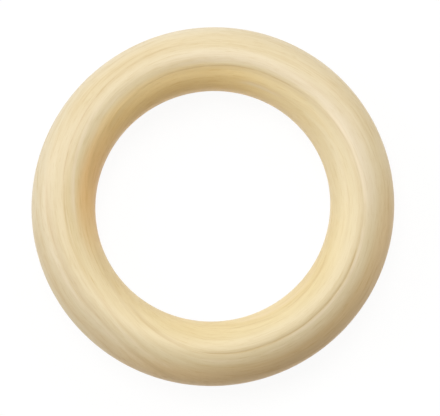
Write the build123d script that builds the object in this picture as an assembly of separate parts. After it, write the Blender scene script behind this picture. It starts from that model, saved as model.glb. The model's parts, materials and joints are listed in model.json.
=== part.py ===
from build123d import *
import os

# Plain wooden curtain ring, turned in one piece. Millimetres, +Z along the ring's axis, origin at its centre.
# It lies flat on its round lower face, and a curtain pole passes through its bore.
# The section is round, so the ring's thickness follows from its width and the land in its bore.

# Driving dimensions
OUTER_DIAMETER = 70.0  # across the rim
BORE_DIAMETER = 45.4  # across the clear opening for the pole
LAND = 2.0  # height of the straight band that boring leaves round the opening

# Places on the section, worked out from the driving dimensions
RIM_RADIUS = OUTER_DIAMETER / 2
BORE_RADIUS = BORE_DIAMETER / 2
LAND_TOP = (BORE_RADIUS, LAND / 2)
LAND_FOOT = (BORE_RADIUS, -LAND / 2)
RIM = (RIM_RADIUS, 0)


def ring_section():
    """Section of the ring in the XZ plane: the bore's land, and one arc from its foot round the rim to its top."""
    land = Line(LAND_TOP, LAND_FOOT)
    round_side = ThreePointArc(LAND_FOOT, RIM, LAND_TOP)
    return Plane.XZ * make_face(land + round_side)


def wooden_ring():
    """The whole ring, turned from its section about its own axis."""
    return revolve(ring_section(), Axis.Z)


os.makedirs("parts", exist_ok=True)
export_step(wooden_ring(), "parts/wooden_ring.step")
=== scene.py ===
import json
import math

import bpy
import numpy as np
from mathutils import Matrix, Vector


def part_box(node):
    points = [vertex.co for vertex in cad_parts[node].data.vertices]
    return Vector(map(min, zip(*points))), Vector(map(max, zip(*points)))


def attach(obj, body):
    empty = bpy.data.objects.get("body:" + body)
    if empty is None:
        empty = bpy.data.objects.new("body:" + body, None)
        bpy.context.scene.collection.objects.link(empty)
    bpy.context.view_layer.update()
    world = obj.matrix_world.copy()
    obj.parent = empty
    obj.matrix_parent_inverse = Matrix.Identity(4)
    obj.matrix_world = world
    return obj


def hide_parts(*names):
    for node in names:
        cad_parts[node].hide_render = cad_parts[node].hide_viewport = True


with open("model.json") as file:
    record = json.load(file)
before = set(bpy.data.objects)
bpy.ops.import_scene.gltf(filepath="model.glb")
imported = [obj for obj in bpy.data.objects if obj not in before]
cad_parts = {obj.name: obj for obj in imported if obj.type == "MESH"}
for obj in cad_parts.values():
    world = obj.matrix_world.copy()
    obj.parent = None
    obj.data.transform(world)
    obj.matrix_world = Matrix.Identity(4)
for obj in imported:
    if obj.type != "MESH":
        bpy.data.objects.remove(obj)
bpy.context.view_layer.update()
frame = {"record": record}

MM = 0.001

# Sizes of the ring, read from the frame
NODE = "wooden_ring"
bore = frame["record"]["mounts"][0]["dims"]
RIM_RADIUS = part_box(NODE)[1].x
BORE_RADIUS = bore["r_mm"] * MM
LAND_END = bore["length_mm"] * MM / 2
WIDTH = RIM_RADIUS - BORE_RADIUS
SECTION_RADIUS = (WIDTH ** 2 + LAND_END ** 2) / (2 * WIDTH)
CREST_RADIUS = RIM_RADIUS - SECTION_RADIUS

# How far sanding eases the two edges of the straight land in the bore
EASING = 0.03 * MM

# Mesh of the ring: vertices round the ring and round its section, and samples of the section to space them by
AROUND = 300
ACROSS = 330
SECTION_SAMPLES = 8193

# Name of the UV map, which lays the wood out as one strip along the grain
BAKE_MAP = "OFBake"

# Main growth line in millimetres and degrees: a circle off centre, two dips, and a hump of the lines inside it
LINE_RADIUS = 28.34
LINE_OFFSET = 1.85
LINE_OFFSET_TOWARDS = 294.4
DIP_DEPTH = 5.5
DIP_AT = 216.7
DIP_AT_RADIUS = 27.9
DIP_TURN = 2.2
DIP_WIDTH_BEFORE = 68.5
DIP_WIDTH_AFTER = 33.1
SMALL_DIP_DEPTH = 0.57
SMALL_DIP_AT = 55.3
SMALL_DIP_WIDTH = 13.5
HUMP_HEIGHT = 1.0
HUMP_AT = 306.0
HUMP_WIDTH = 30.0
HUMP_FROM = -2.0
HUMP_BY = -4.0
GRAIN_TILT = 0.03

# Waves that run along the growth lines: how many go round the ring, height in millimetres, start in radians
LINE_WAVES = ((5, 0.087, 3.46), (7, 0.06, 0.4), (13, 0.03, 2.1), (29, 0.015, 4.0))

# Growth lines, and a few bands of painted shade and painted light at the edges of the shading: place, thin line,
# darker wood inside, pale edge outside, azimuth, degrees clear each side, fade
GROWTH_LINES_AND_SHADING_BANDS = (
    (-7.4, 0.00, 0.00, 0.40, 304.0, 14.0, 12.0),
    (-5.65, 0.28, 0.10, 0.15, 304.0, 18.0, 16.0),
    (-4.4, 0.24, 0.00, 0.05, 305.0, 8.0, 15.0),
    (-3.0, 0.00, 0.00, 0.50, 66.0, 6.0, 8.0),
    (-2.7, 0.00, 0.12, 0.00, 2.0, 14.0, 12.0),
    (-0.12, 0.00, 0.42, 0.00, 246.0, 4.0, 14.0),
    (0.0, 0.48, 0.28, 0.12, 304.0, 32.0, 9.0),
    (0.0, 0.20, 0.18, 0.00, 5.0, 30.0, 20.0),
    (0.0, 0.22, 0.26, 0.00, 38.0, 10.0, 22.0),
    (0.0, 0.42, 0.32, 0.00, 78.0, 8.0, 38.0),
    (0.0, 0.46, 0.35, 0.00, 90.0, 10.0, 28.0),
    (0.0, 0.52, 0.12, 0.00, 116.0, 7.0, 7.0),
    # Partly a faint stretch of the main line and partly painted shade: a darker band that sharpens the shadow's edge
    # on the bore side at the upper left
    (0.0, 0.00, 0.34, 0.00, 130.0, 8.0, 14.0),
    (0.0, 0.00, 0.00, 0.55, 350.0, 38.0, 22.0),
    (0.0, 0.00, 0.00, 0.30, 50.0, 8.0, 12.0),
    (0.6, 0.00, 0.22, 0.00, 156.0, 8.0, 16.0),
    (0.9, 0.00, 0.22, 0.00, 104.0, 4.0, 18.0),
    # Painted shade: a second darker band at that shadow's edge
    (0.9, 0.00, 0.16, 0.00, 127.0, 4.0, 9.0),
    (1.0, 0.00, 0.00, 0.34, 302.0, 26.0, 16.0),
    (1.05, 0.00, 0.20, 0.00, 222.0, 8.0, 18.0),
    # Painted light: a paler band just past that shadow's edge
    (1.3, 0.00, 0.00, 0.30, 130.0, 12.0, 18.0),
    (2.3, 0.00, 0.14, 0.00, 53.0, 4.0, 10.0),
    (2.6, 0.00, 0.14, 0.00, 304.0, 24.0, 12.0),
    (2.7, 0.00, 0.00, 0.50, 163.0, 14.0, 16.0),
    (4.0, 0.00, 0.12, 0.00, 305.0, 36.0, 14.0),
    (4.7, 0.42, 0.20, 0.10, 148.0, 20.0, 50.0),
    (4.8, 0.12, 0.15, 0.00, 205.0, 40.0, 20.0),
    (5.2, 0.00, 0.00, 0.40, 246.0, 5.0, 12.0),
    # Painted shade: a darker band that dims the crest's highlight on the left
    (5.5, 0.00, 0.15, 0.00, 188.0, 18.0, 14.0),
    (7.5, 0.10, 0.38, 0.00, 249.0, 2.0, 12.0),
    (7.55, 0.26, 0.33, 0.05, 206.0, 20.0, 20.0),
    (7.85, 0.00, 0.00, 0.40, 222.0, 14.0, 16.0),
    (10.35, 0.15, 0.25, 0.00, 212.0, 16.0, 14.0),
)

# Profile of a growth line in millimetres: darker towards it from inside, a pale edge outside, a shallow groove
DARKENING = 1.6
DARKENING_POWER = 2.0
LINE_WIDTH = 0.28
EDGE = 0.1
SOFT_EDGE = 0.5
FRESH_FULL = 0.36
FRESH_WIDTH = 1.1
GROOVE_DEPTH = 0.15
GROOVE_WIDTH = 0.2

# How a growth line breaks up: noise where it starts to show and is whole, and how much its strength lowers each
SHOWS_FROM = 0.55
SHOWS_FROM_LESS = 0.5
WHOLE_BY = 0.65
WHOLE_BY_LESS = 0.2

# Colours of the wood
EARLY_WOOD = (0.765, 0.655, 0.435)
LATE_WOOD_AND_SHADE = (0.56, 0.40, 0.19)
HEART_WOOD = (0.81, 0.69, 0.42)
STREAK_TINT = (0.885, 0.825, 0.69)
OUTER_WOOD = (0.755, 0.66, 0.47)
PALE_WOOD_AND_SHEEN = (0.81, 0.705, 0.55)
FRESH_WOOD_AND_LIGHT = (0.87, 0.745, 0.57)

# Patches of another tone, most of them painted shade and painted light on one side of the ring: azimuth, degrees full
# to each side, radius where it starts and is full, share, colour
TONE_AND_SHADING_PATCHES = (
    (218.0, 30.0, 31.0, 27.0, 0.6, (0.80, 0.665, 0.385)),
    # Painted shade: warm, darker orange on the shaded bore side at the upper left
    (136.0, 34.0, 26.9, 24.4, 0.85, (0.82, 0.55, 0.245)),
    # Painted light: lighter, warm bounce light on the shaded bore side at the top
    (92.0, 30.0, 27.4, 25.2, 0.8, (0.955, 0.755, 0.39)),
    (28.0, 5.0, 27.2, 25.0, 0.6, (0.835, 0.735, 0.505)),
    # Painted shade: a warm, darker rim on the shaded lower right
    (300.0, 35.0, 31.0, 34.0, 0.6, (0.80, 0.575, 0.31)),
    # Painted light: a paler, less yellow rim on the lit upper left
    (132.0, 45.0, 31.5, 34.5, 0.6, (0.765, 0.70, 0.54)),
)
PATCH_FADE = 45.0

# Pale wood outside the main growth line, which also paints the crest's sheen at the top: where it lies round the
# ring, and between which distances from the line
PALE_AT = 50.0
PALE_SPREAD = 42.0
PALE_FADE = 25.0
PALE_INSIDE = (0.3, 1.1)
PALE_OUTSIDE = (1.0, 4.0)
PALE_SHARE = 0.5

# Fibres beside the outer growth lines: between which distances from the main line, and where they lie
FIBRES_INSIDE = (4.8, 6.4)
FIBRES_OUTSIDE = (9.2, 11.5)
FIBRES_AT = 216.0
FIBRES_SPREAD = 22.0
FIBRES_FADE = 25.0

# Spread of a noise across the growth lines, and its stretch along them and through the height
GRAIN_SPREAD = 1.0
GRAIN_STRETCH = 0.03
FLECK_STRETCH = 0.08
BREAK_SPREAD = 0.8
BREAK_STRETCH = 0.14
FIBRE_SPREAD = 1.6
FIBRE_STRETCH = 0.16
HEIGHT_STRETCH = 0.5

# Noises of the wood: scale, detail, roughness
SLOW_NOISE = (0.06, 2.0, 0.5)
BAND_NOISE = (0.9, 3.0, 0.6)
STREAK_NOISE = (3.2, 3.0, 0.65)
FLECK_NOISE = (5.5, 2.0, 0.6)
BREAK_NOISE = (1.0, 4.0, 0.65)
FIBRE_NOISE = (1.6, 2.0, 0.6)

# Changes of tone: from and to a distance, noise or radius, and from and to a share where it isn't 0 to 1
HEART_RANGE = (2.0, -6.0)
OUTER_RANGE = (4.0, 10.0)
SLOW_RANGE = (0.4, 0.7, 0.0, 0.25)
BAND_RANGE = (0.4, 0.75, 0.0, 0.5)
STREAK_RANGE = (0.48, 0.75)
STREAK_CONTRAST = (32.5, 34.5, 0.6, 0.95)
FLECK_RANGE = (0.5, 0.72, 0.0, 0.5)
FIBRE_RANGE = (0.5, 0.68, 0.0, 0.2)

# Finish of the wood: its roughness by the streaks, and their height
ROUGHNESS = (0.3, 0.7, 0.36, 0.46)
STREAK_HEIGHT = 0.02 * MM

# Lamps: name, azimuth and elevation in degrees, side in metres, light on a surface that faces it
LAMP_DISTANCE = 0.9
LAMPS = (
    ("overhead", 110.0, 72.0, 0.5, 0.49),
    ("window", 172.0, 35.0, 0.6, 0.452),
    ("fill", 50.0, 35.0, 0.5, 0.325),
)
SURROUND = 0.178
SURROUND_COLOUR = (0.98, 0.86, 0.645, 1.0)
WHITE = (1.0, 1.0, 1.0, 1.0)

# Floor: its own colour, and how the camera sees it
FLOOR_HALF = 3.0
FLOOR_COLOUR = (0.92, 0.79, 0.56, 1.0)
SEEN_COLOUR = (0.08, 0.08, 0.08, 1.0)
SEEN_GLOW = 0.934
WHITE_FROM = 0.12
WHITE_BY = 0.5

# Camera: the picture's frame, where the ring's centre lies in it, and how the ring's axis leans from the view
PICTURE_WIDTH = 440
PICTURE_HEIGHT = 416
CENTRE_PIXEL = (212.0, 205.06)
VIEW_TILT = 10.51
VIEW_LEAN = 109.3
PIXEL_SIZE = 0.19262 * MM
LENS = 350.0
SENSOR = 36.0
CLIP_END = 10.0


def ring_section(count):
    """Points (radius, height) evenly spaced round the section, and their outward normals."""
    turn = np.linspace(-math.pi, math.pi, SECTION_SAMPLES)
    past_bore = CREST_RADIUS - BORE_RADIUS + SECTION_RADIUS * np.cos(turn)
    radius = BORE_RADIUS + EASING * np.logaddexp(0.0, past_bore / EASING)
    height = SECTION_RADIUS * np.sin(turn)
    length = np.concatenate([[0.0], np.cumsum(np.hypot(np.diff(radius), np.diff(height)))])
    even = np.linspace(0.0, length[-1], count, endpoint=False)
    points = np.stack([np.interp(even, length, radius), np.interp(even, length, height)], 1)
    along = np.roll(points, -1, 0) - np.roll(points, 1, 0)
    normals = np.stack([along[:, 1], -along[:, 0]], 1)
    return points, normals / np.linalg.norm(normals, axis=1)[:, None]


def degrees_from(angle, azimuth):
    """Degrees from an azimuth to an angle, the short way round."""
    return (angle - azimuth + 180.0) % 360.0 - 180.0


def growth_distance(x, y, z):
    """Millimetres outwards from the main growth line, at points given in metres."""
    turn = np.arctan2(y, x)
    angle = np.degrees(turn)
    radius = np.hypot(x, y) / MM
    away = degrees_from(angle, DIP_AT + DIP_TURN * (radius - DIP_AT_RADIUS))
    line = LINE_RADIUS + LINE_OFFSET * np.cos(np.radians(angle - LINE_OFFSET_TOWARDS))
    width = np.where(away < 0.0, DIP_WIDTH_BEFORE, DIP_WIDTH_AFTER)
    line = line - DIP_DEPTH * np.exp(-((away / width) ** 2))
    line = line - SMALL_DIP_DEPTH * np.exp(-((degrees_from(angle, SMALL_DIP_AT) / SMALL_DIP_WIDTH) ** 2))
    for count, height, start in LINE_WAVES:
        line = line + height * np.sin(count * turn + start)
    growth = radius - line + GRAIN_TILT * (z - SECTION_RADIUS) / MM
    inside = np.clip((growth - HUMP_FROM) / (HUMP_BY - HUMP_FROM), 0.0, 1.0)
    return growth - HUMP_HEIGHT * inside * np.exp(-((degrees_from(angle, HUMP_AT) / HUMP_WIDTH) ** 2))


def fade_range(spread, fade):
    """Cosines of the angles at which a feature of the wood is gone and at which it is clear."""
    return math.cos(math.radians(min(spread + fade, 180.0))), math.cos(math.radians(spread))


def relief(growth, angle):
    """Millimetres that the sanded surface lies below the turned one: a shallow groove at each growth line."""
    depth = np.zeros_like(growth)
    for place, thin, _, _, clear_at, spread, fading in GROWTH_LINES_AND_SHADING_BANDS:
        gone, clear = fade_range(spread, fading)
        fade = np.clip((np.cos(angle - math.radians(clear_at)) - gone) / (clear - gone), 0.0, 1.0)
        groove = thin ** 2 * fade * GROOVE_DEPTH * np.exp(-(((growth - place) / GROOVE_WIDTH) ** 2))
        depth = np.maximum(depth, groove)
    return depth


def strip_corners():
    """Place of each face's corners on a square map, with the ring's surface laid out as one strip along the grain."""
    around = (np.arange(AROUND)[:, None, None] + np.array([0, 1, 1, 0])) / AROUND
    across = (np.arange(ACROSS)[None, :, None] + np.array([0, 0, 1, 1])) / ACROSS
    return np.stack(np.broadcast_arrays(around, across), -1).astype(np.float32)


def make_ring(material):
    """The ring as one closed mesh, with the wood's growth stored at each vertex."""
    points, normals = ring_section(ACROSS)
    angle = np.linspace(0.0, 2.0 * math.pi, AROUND, endpoint=False)[:, None]
    out = np.stack([np.cos(angle), np.sin(angle)], -1)
    height = np.broadcast_to(points[None, :, 1:], (AROUND, ACROSS, 1))
    rise = np.broadcast_to(normals[None, :, 1:], (AROUND, ACROSS, 1))
    base = np.concatenate([points[None, :, :1] * out, height], -1)
    normal = np.concatenate([normals[None, :, :1] * out, rise], -1)
    growth = growth_distance(base[..., 0], base[..., 1], base[..., 2])
    vertices = (base - normal * (relief(growth, angle) * MM)[..., None]).reshape(-1, 3)
    column = np.arange(AROUND)[:, None] * ACROSS
    beside = np.roll(column, -1, 0)
    row = np.arange(ACROSS)[None, :]
    above = np.roll(row, -1, 1)
    quads = np.stack([column + row, beside + row, beside + above, column + above], -1).reshape(-1, 4)
    mesh = bpy.data.meshes.new("turned_ring")
    mesh.from_pydata(vertices.tolist(), [], quads.tolist())
    mesh.attributes.new("growth", "FLOAT", "POINT").data.foreach_set("value", growth.astype(np.float32).ravel())
    mesh.uv_layers.new(name=BAKE_MAP).uv.foreach_set("vector", strip_corners().ravel())
    mesh.shade_smooth()
    mesh.materials.append(material)
    ring = bpy.data.objects.new("turned_ring", mesh)
    bpy.context.scene.collection.objects.link(ring)
    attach(ring, "root")
    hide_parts(NODE)


class Nodes:
    """Short calls that add a node to a material, link its inputs and return its output."""

    def __init__(self, tree):
        self.tree = tree

    def put(self, socket, value):
        """Links a socket to another node's output, or sets it to a plain value."""
        if isinstance(value, bpy.types.NodeSocket):
            self.tree.links.new(value, socket)
        else:
            socket.default_value = value

    def math(self, operation, a, b=0.0):
        node = self.tree.nodes.new("ShaderNodeMath")
        node.operation = operation
        self.put(node.inputs[0], a)
        self.put(node.inputs[1], b)
        return node.outputs[0]

    def ramp(self, value, from_low, from_high, to_low=0.0, to_high=1.0):
        """Even curve from one value to another, held beyond both ends."""
        node = self.tree.nodes.new("ShaderNodeMapRange")
        node.interpolation_type = "SMOOTHSTEP"
        self.put(node.inputs["Value"], value)
        self.put(node.inputs["From Min"], from_low)
        self.put(node.inputs["From Max"], from_high)
        self.put(node.inputs["To Min"], to_low)
        self.put(node.inputs["To Max"], to_high)
        return node.outputs["Result"]

    def noise(self, vector, w, scale, detail, roughness):
        node = self.tree.nodes.new("ShaderNodeTexNoise")
        node.noise_dimensions = "4D"
        self.put(node.inputs["Vector"], vector)
        self.put(node.inputs["W"], w)
        self.put(node.inputs["Scale"], scale)
        self.put(node.inputs["Detail"], detail)
        self.put(node.inputs["Roughness"], roughness)
        return node.outputs["Fac"]

    def vector(self, x, y, z):
        node = self.tree.nodes.new("ShaderNodeCombineXYZ")
        self.put(node.inputs[0], x)
        self.put(node.inputs[1], y)
        self.put(node.inputs[2], z)
        return node.outputs[0]

    def direction(self, vector):
        node = self.tree.nodes.new("ShaderNodeVectorMath")
        node.operation = "NORMALIZE"
        self.put(node.inputs[0], vector)
        return node.outputs["Vector"]

    def dot(self, a, b):
        node = self.tree.nodes.new("ShaderNodeVectorMath")
        node.operation = "DOT_PRODUCT"
        self.put(node.inputs[0], a)
        self.put(node.inputs[1], b)
        return node.outputs["Value"]

    def mix(self, factor, a, b, blend="MIX"):
        """Mix of two colours."""
        node = self.tree.nodes.new("ShaderNodeMix")
        node.data_type = "RGBA"
        node.blend_type = blend
        self.put(node.inputs["Factor"], factor)
        self.put(node.inputs[6], a)
        self.put(node.inputs[7], b)
        return node.outputs[2]


def heading(azimuth):
    """Direction in the ring's plane at an azimuth in degrees."""
    return math.cos(math.radians(azimuth)), math.sin(math.radians(azimuth)), 0.0


def opaque(colour):
    """A colour with its alpha."""
    return (*colour, 1.0)


def shown(n, broken, strength):
    """Strength of a growth line where the noise lets it show. A weak line breaks up more than a strong one."""
    starts = SHOWS_FROM - SHOWS_FROM_LESS * strength
    whole = WHOLE_BY - WHOLE_BY_LESS * strength
    return n.ramp(broken, starts, whole, 0.0, strength)


def growth_and_shading_marks(n, growth, outwards, broken):
    """Shares of dark late wood and of pale fresh wood at the growth lines, and of the bands of painted shade and
    painted light among them.
    """
    late_and_shade = 0.0
    fresh_and_light = 0.0
    for place, thin, darker, edge, clear_at, spread, fading in GROWTH_LINES_AND_SHADING_BANDS:
        fade = n.ramp(n.dot(outwards, heading(clear_at)), *fade_range(spread, fading))
        if thin or darker:
            soft = n.math("POWER", n.ramp(growth, place - DARKENING, place), DARKENING_POWER)
            soft = n.math("MULTIPLY", soft, n.ramp(growth, place, place + SOFT_EDGE, darker, 0.0))
            mark = n.math("MULTIPLY", n.ramp(growth, place - LINE_WIDTH, place), shown(n, broken, thin))
            mark = n.math("MULTIPLY", mark, n.ramp(growth, place, place + EDGE, 1.0, 0.0))
            late_and_shade = n.math("MAXIMUM", n.math("MULTIPLY", n.math("ADD", soft, mark), fade), late_and_shade)
        if edge:
            full = place + FRESH_FULL
            pale = n.math("MULTIPLY", n.ramp(growth, place, full), shown(n, broken, edge))
            pale = n.math("MULTIPLY", pale, n.ramp(growth, full, place + FRESH_WIDTH, 1.0, 0.0))
            fresh_and_light = n.math("MAXIMUM", n.math("MULTIPLY", pale, fade), fresh_and_light)
    return late_and_shade, fresh_and_light


def zone(n, growth, outwards, azimuth, spread, fade, inside, outside, share=1.0):
    """Share of a tone that lies between two distances from the main growth line, on one side of the ring."""
    part = n.ramp(n.dot(outwards, heading(azimuth)), *fade_range(spread, fade), 0.0, share)
    part = n.math("MULTIPLY", part, n.ramp(growth, *inside))
    return n.math("MULTIPLY", part, n.ramp(growth, *outside, 1.0, 0.0))


def wood_material():
    """Pale sanded wood: growth lines, fine streaks along them, warmer heartwood and slow changes of tone, with
    painted shade and painted light on some sides of the ring.
    """
    material = bpy.data.materials.new("pale_wood")
    material.use_nodes = True
    tree = material.node_tree
    n = Nodes(tree)
    shader = tree.nodes["Principled BSDF"]
    stored = tree.nodes.new("ShaderNodeAttribute")
    stored.attribute_name = "growth"
    growth = stored.outputs["Fac"]
    split = tree.nodes.new("ShaderNodeSeparateXYZ")
    n.put(split.inputs[0], tree.nodes.new("ShaderNodeTexCoord").outputs["Object"])
    x, y, z = (n.math("DIVIDE", part, MM) for part in split.outputs)
    outwards = n.direction(n.vector(x, y, 0.0))
    radius = n.math("SQRT", n.math("ADD", n.math("MULTIPLY", x, x), n.math("MULTIPLY", y, y)))
    height = n.math("MULTIPLY", z, HEIGHT_STRETCH)

    def grain(spread, stretch, noise):
        """Noise that runs along the growth lines."""
        across = n.math("MULTIPLY", growth, spread)
        run = n.vector(across, n.math("MULTIPLY", x, stretch), n.math("MULTIPLY", y, stretch))
        return n.noise(run, height, *noise)

    slow = n.noise(n.vector(x, y, z), 0.0, *SLOW_NOISE)
    bands = grain(GRAIN_SPREAD, GRAIN_STRETCH, BAND_NOISE)
    streaks = grain(GRAIN_SPREAD, GRAIN_STRETCH, STREAK_NOISE)
    flecks = grain(GRAIN_SPREAD, FLECK_STRETCH, FLECK_NOISE)
    fibres = n.ramp(grain(FIBRE_SPREAD, FIBRE_STRETCH, FIBRE_NOISE), *FIBRE_RANGE)
    late_and_shade, fresh_and_light = growth_and_shading_marks(n, growth, outwards, grain(BREAK_SPREAD, BREAK_STRETCH, BREAK_NOISE))

    tint = opaque(STREAK_TINT)
    colour = n.mix(n.ramp(growth, *HEART_RANGE), opaque(EARLY_WOOD), opaque(HEART_WOOD))
    colour = n.mix(n.ramp(growth, *OUTER_RANGE), colour, opaque(OUTER_WOOD))
    # Pale wood outside the main line at the top, partly a painted sheen on the crest there
    pale = zone(n, growth, outwards, PALE_AT, PALE_SPREAD, PALE_FADE, PALE_INSIDE, PALE_OUTSIDE, PALE_SHARE)
    colour = n.mix(pale, colour, opaque(PALE_WOOD_AND_SHEEN))
    colour = n.mix(n.ramp(slow, *SLOW_RANGE), colour, tint, "MULTIPLY")
    # Patches of tone, most of them painted shade and painted light on one side of the ring
    for azimuth, spread, starts, full, share, tone in TONE_AND_SHADING_PATCHES:
        side = n.ramp(n.dot(outwards, heading(azimuth)), *fade_range(spread, PATCH_FADE))
        across = n.ramp(radius, starts, full, 0.0, share)
        colour = n.mix(n.math("MULTIPLY", side, across), colour, opaque(tone))
    colour = n.mix(n.ramp(bands, *BAND_RANGE), colour, tint, "MULTIPLY")
    contrast = n.ramp(radius, *STREAK_CONTRAST)
    colour = n.mix(n.math("MULTIPLY", n.ramp(streaks, *STREAK_RANGE), contrast), colour, tint, "MULTIPLY")
    colour = n.mix(n.ramp(flecks, *FLECK_RANGE), colour, tint, "MULTIPLY")
    fibrous = zone(n, growth, outwards, FIBRES_AT, FIBRES_SPREAD, FIBRES_FADE, FIBRES_INSIDE, FIBRES_OUTSIDE)
    colour = n.mix(n.math("MULTIPLY", fibres, fibrous), colour, opaque(LATE_WOOD_AND_SHADE))
    # Pale fresh wood and dark late wood at the growth lines, with the bands of painted light and painted shade that
    # share their colours
    colour = n.mix(fresh_and_light, colour, opaque(FRESH_WOOD_AND_LIGHT))
    colour = n.mix(late_and_shade, colour, opaque(LATE_WOOD_AND_SHADE))

    n.put(shader.inputs["Base Color"], colour)
    n.put(shader.inputs["Roughness"], n.ramp(streaks, *ROUGHNESS))
    bump = tree.nodes.new("ShaderNodeBump")
    bump.inputs["Distance"].default_value = STREAK_HEIGHT
    n.put(bump.inputs["Height"], streaks)
    n.put(shader.inputs["Normal"], bump.outputs["Normal"])
    return material


def make_floor():
    """Pale warm floor under the ring. The camera sees it near white, with the ring's soft shadow on it."""
    z = -SECTION_RADIUS
    h = FLOOR_HALF
    mesh = bpy.data.meshes.new("floor")
    mesh.from_pydata([(-h, -h, z), (h, -h, z), (h, h, z), (-h, h, z)], [], [(0, 1, 2, 3)])
    material = bpy.data.materials.new("pale_floor")
    material.use_nodes = True
    tree = material.node_tree
    n = Nodes(tree)
    tree.nodes.remove(tree.nodes["Principled BSDF"])
    seen = seen_directly(n)
    matt = tree.nodes.new("ShaderNodeBsdfDiffuse")
    n.put(matt.inputs["Color"], n.mix(seen, FLOOR_COLOUR, SEEN_COLOUR))
    glow = tree.nodes.new("ShaderNodeEmission")
    place = tree.nodes.new("ShaderNodeTexCoord").outputs["Object"]
    distance = n.math("SQRT", n.dot(place, place))
    level = n.ramp(distance, WHITE_FROM, WHITE_BY, SEEN_GLOW, 1.0)
    n.put(glow.inputs["Strength"], n.math("MULTIPLY", seen, level))
    both = tree.nodes.new("ShaderNodeAddShader")
    n.put(both.inputs[0], matt.outputs[0])
    n.put(both.inputs[1], glow.outputs[0])
    n.put(tree.nodes["Material Output"].inputs["Surface"], both.outputs[0])
    mesh.materials.append(material)
    floor = bpy.data.objects.new("floor", mesh)
    bpy.context.scene.collection.objects.link(floor)


def seen_directly(n):
    """1 for what the camera sees, also in a reflection or through glass, and 0 for light that falls on the object."""
    rays = n.tree.nodes.new("ShaderNodeLightPath").outputs
    direct = n.math("MAXIMUM", rays["Is Camera Ray"], rays["Is Glossy Ray"])
    return n.math("MAXIMUM", direct, rays["Is Transmission Ray"])


def make_lamps():
    """Soft studio lamps round the ring, and an even surround that the camera sees as white."""
    for name, azimuth, elevation, side, level in LAMPS:
        lamp = bpy.data.lights.new(name, "AREA")
        lamp.size = side
        lamp.energy = level * (math.pi * LAMP_DISTANCE) ** 2
        holder = bpy.data.objects.new(name, lamp)
        turn = math.radians(azimuth)
        lift = math.radians(elevation)
        aim = Vector((math.cos(turn) * math.cos(lift), math.sin(turn) * math.cos(lift), math.sin(lift)))
        holder.location = aim * LAMP_DISTANCE
        holder.rotation_euler = aim.to_track_quat("Z", "Y").to_euler()
        bpy.context.scene.collection.objects.link(holder)
    world = bpy.data.worlds.new("surround")
    world.use_nodes = True
    n = Nodes(world.node_tree)
    background = world.node_tree.nodes["Background"]
    seen = seen_directly(n)
    n.put(background.inputs["Color"], n.mix(seen, SURROUND_COLOUR, WHITE))
    n.put(background.inputs["Strength"], n.ramp(seen, 0.0, 1.0, SURROUND, 1.0))
    bpy.context.scene.world = world


def make_camera():
    """Camera above the ring, looking down on it along the photograph's line of sight."""
    tilt = math.radians(VIEW_TILT)
    lean = math.radians(VIEW_LEAN)
    towards = Vector((-math.sin(tilt) * math.cos(lean), -math.sin(tilt) * math.sin(lean), math.cos(tilt)))
    turn = Vector((0.0, 0.0, 1.0)).rotation_difference(towards).to_matrix()
    right = turn @ Vector((1.0, 0.0, 0.0))
    up = turn @ Vector((0.0, 1.0, 0.0))
    distance = PIXEL_SIZE * PICTURE_WIDTH * LENS / SENSOR
    across = (PICTURE_WIDTH - 1) / 2 - CENTRE_PIXEL[0]
    down = (PICTURE_HEIGHT - 1) / 2 - CENTRE_PIXEL[1]
    place = towards * distance + right * across * PIXEL_SIZE - up * down * PIXEL_SIZE
    data = bpy.data.cameras.new("camera")
    data.lens = LENS
    data.sensor_width = SENSOR
    data.clip_end = CLIP_END
    camera = bpy.data.objects.new("camera", data)
    camera.matrix_world = Matrix.Translation(place) @ turn.to_4x4()
    bpy.context.scene.collection.objects.link(camera)
    bpy.context.scene.camera = camera


bpy.context.scene.view_settings.view_transform = "Standard"
make_ring(wood_material())
make_floor()
make_lamps()
make_camera()
